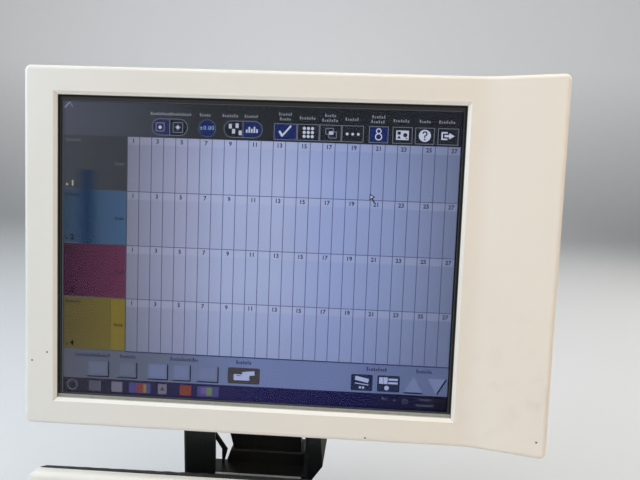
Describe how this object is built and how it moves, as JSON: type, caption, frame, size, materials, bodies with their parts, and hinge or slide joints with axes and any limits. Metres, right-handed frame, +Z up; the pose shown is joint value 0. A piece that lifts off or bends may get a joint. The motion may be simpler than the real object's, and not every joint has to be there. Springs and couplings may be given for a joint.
{
  "type": "control desk touch display on a tilting yoke",
  "caption": "Wide touch display in a pale frame with a forward-bent grip wing, on a black tilting yoke, a swivel and a low plinth.",
  "frame": {"origin": "under the swivel axis, on the underside of the base plate", "axes": "+Z up along the swivel axis; the screen faces -Y; +X is to the right of someone who looks at the screen"},
  "size_m": [0.4309, 0.1293, 0.4461],
  "materials": {
    "head_paint": "satin warm white powder coat",
    "panel_paint": "satin warm white powder coat",
    "gasket_rubber": "dull black rubber",
    "touch_glass": "glossy touch glass",
    "lit_picture": "lit screen picture",
    "bare_sheet": "zinc plated sheet",
    "cover_paint": "fine textured dark grey paint",
    "board_box": "matt housing",
    "socket_metal": "dull metal",
    "black_paint": "semi matt black paint",
    "axle_steel": "ground steel",
    "nut_steel": "blackened zinc",
    "washer_bronze": "dull bronze",
    "leg_paint": "semi matt black paint",
    "shelf_paint": "semi matt black paint",
    "strip_aluminium": "bare metal edge",
    "disc_paint": "semi matt black paint",
    "post_steel": "turned steel",
    "plinth_paint": "fine textured black paint",
    "backing_paint": "black paint",
    "hatch_paint": "fine textured dark grey paint",
    "grommet_rubber": "dull black rubber"
  },
  "bodies": {
    "plinth": {"swivel_post": "post_steel", "plinth_box": "plinth_paint", "plinth_top": "plinth_paint", "base_plate": "plinth_paint", "front_panel": "panel_paint", "panel_backing": "backing_paint", "backing_gussets": "backing_paint", "rear_hatch": "hatch_paint", "cable_grommet": "grommet_rubber"},
    "yoke": {"tilt_axle": "axle_steel", "axle_nut_left": "nut_steel", "axle_nut_right": "nut_steel", "friction_washers": "washer_bronze", "left_leg": "leg_paint", "right_leg": "leg_paint", "yoke_shelf": "shelf_paint", "shelf_edge_strip": "strip_aluminium", "centre_block": "black_paint", "inner_brace": "black_paint", "swivel_disc": "disc_paint"},
    "head": {"front_frame": "head_paint", "screen_gasket": "gasket_rubber", "touch_glass": "touch_glass", "display_module": "lit_picture", "module_carrier": "bare_sheet", "back_panel": "head_paint", "rear_cover": "cover_paint", "driver_board": "board_box", "socket_plate": "socket_metal", "head_bracket": "black_paint"}
  },
  "joints": [
    {"name": "yoke_swivel", "type": "hinge", "parent": "plinth", "child": "yoke", "pos_m": [0, 0, 0.0863], "axis": [0, 0, 1], "range_deg": [-25, 25]},
    {"name": "head_tilt", "type": "hinge", "parent": "yoke", "child": "head", "pos_m": [0, 0, 0.1498], "axis": [-1, 0, 0], "range_deg": [-11, 14]}
  ]
}
